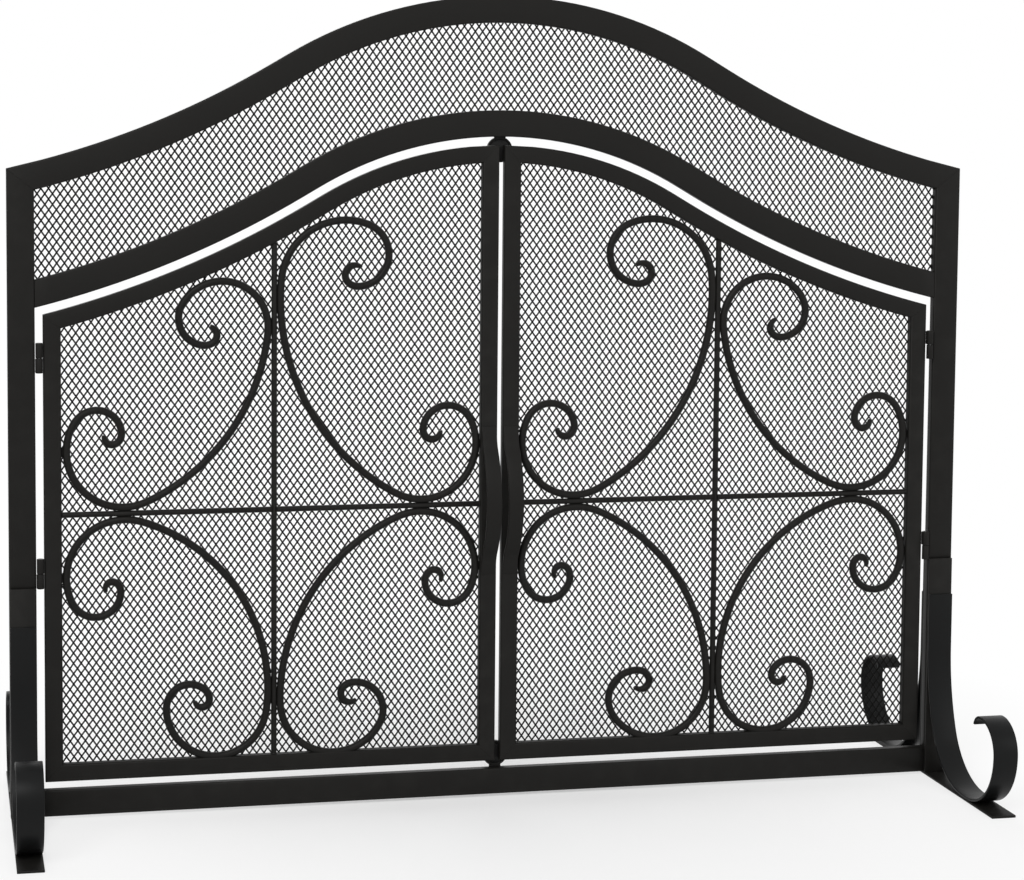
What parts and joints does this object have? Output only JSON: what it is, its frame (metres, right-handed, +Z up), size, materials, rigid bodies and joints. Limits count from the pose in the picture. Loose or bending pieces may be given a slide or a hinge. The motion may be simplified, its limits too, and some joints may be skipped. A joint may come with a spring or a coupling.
{
  "type": "fireplace safety gate",
  "caption": "Free-standing arched steel fireplace screen with wire mesh, hinged scrollwork doors, bowed handles, magnetic catches and scrolled flat-bar feet.",
  "frame": {"origin": "on the floor, halfway between the stiles and in the middle of the frame's depth", "axes": "+X to the viewer's right across the doors, +Y into the hearth, +Z up"},
  "size_m": [0.965, 0.323, 0.798],
  "materials": {
    "frame_tube": "satin black powder coat",
    "door_tube": "satin black powder coat",
    "scroll_bar": "satin black powder coat on round bar",
    "straight_bar": "satin black powder coat on round bar",
    "wire_mesh": "black coated wire",
    "foot_bar": "satin black powder coat on flat bar",
    "handle_bar": "satin black powder coat on flat bar",
    "hinge_barrel": "satin black powder coat",
    "catch": "black coated steel",
    "fastener": "black oxide steel",
    "magnet": "dark ferrite face",
    "pin_steel": "bright steel"
  },
  "bodies": {
    "frame": {"left_stile": "frame_tube", "right_stile": "frame_tube", "top_arch_rail": "frame_tube", "lower_arch_rail": "frame_tube", "bottom_rail": "frame_tube", "upper_mesh_panel": "wire_mesh", "left_foot_base": "foot_bar", "right_foot_base": "foot_bar", "left_front_foot_scroll": "foot_bar", "right_front_foot_scroll": "foot_bar", "left_rear_foot_scroll": "foot_bar", "right_rear_foot_scroll": "foot_bar", "left_front_foot_plate": "foot_bar", "right_front_foot_plate": "foot_bar", "left_rear_foot_plate": "foot_bar", "right_rear_foot_plate": "foot_bar", "foot_screws": "fastener", "upper_catch_cup": "catch", "lower_catch_cup": "catch", "upper_catch_magnet": "magnet", "lower_catch_magnet": "magnet", "catch_rivets": "fastener", "left_frame_hinge_barrels": "hinge_barrel", "right_frame_hinge_barrels": "hinge_barrel", "left_hinge_pins": "pin_steel", "right_hinge_pins": "pin_steel"},
    "left_door": {"left_door_outer_stile": "door_tube", "left_door_inner_stile": "door_tube", "left_door_top_rail": "door_tube", "left_door_bottom_rail": "door_tube", "left_door_mesh_panel": "wire_mesh", "left_door_vertical_bar": "straight_bar", "left_door_horizontal_bar": "straight_bar", "left_door_scroll_upper_outer": "scroll_bar", "left_door_scroll_upper_inner": "scroll_bar", "left_door_scroll_lower_outer": "scroll_bar", "left_door_scroll_lower_inner": "scroll_bar", "left_door_handle": "handle_bar", "left_door_hinge_barrels": "hinge_barrel"},
    "right_door": {"right_door_outer_stile": "door_tube", "right_door_inner_stile": "door_tube", "right_door_top_rail": "door_tube", "right_door_bottom_rail": "door_tube", "right_door_mesh_panel": "wire_mesh", "right_door_vertical_bar": "straight_bar", "right_door_horizontal_bar": "straight_bar", "right_door_scroll_upper_outer": "scroll_bar", "right_door_scroll_upper_inner": "scroll_bar", "right_door_scroll_lower_outer": "scroll_bar", "right_door_scroll_lower_inner": "scroll_bar", "right_door_handle": "handle_bar", "right_door_hinge_barrels": "hinge_barrel"}
  },
  "joints": [
    {"name": "left_door_hinge", "type": "hinge", "parent": "frame", "child": "left_door", "pos_m": [-0.45275, -0.006, 0], "axis": [0, 0, -1], "range_deg": [0, 90]},
    {"name": "right_door_hinge", "type": "hinge", "parent": "frame", "child": "right_door", "pos_m": [0.45275, -0.006, 0], "axis": [0, 0, 1], "range_deg": [0, 90]}
  ]
}
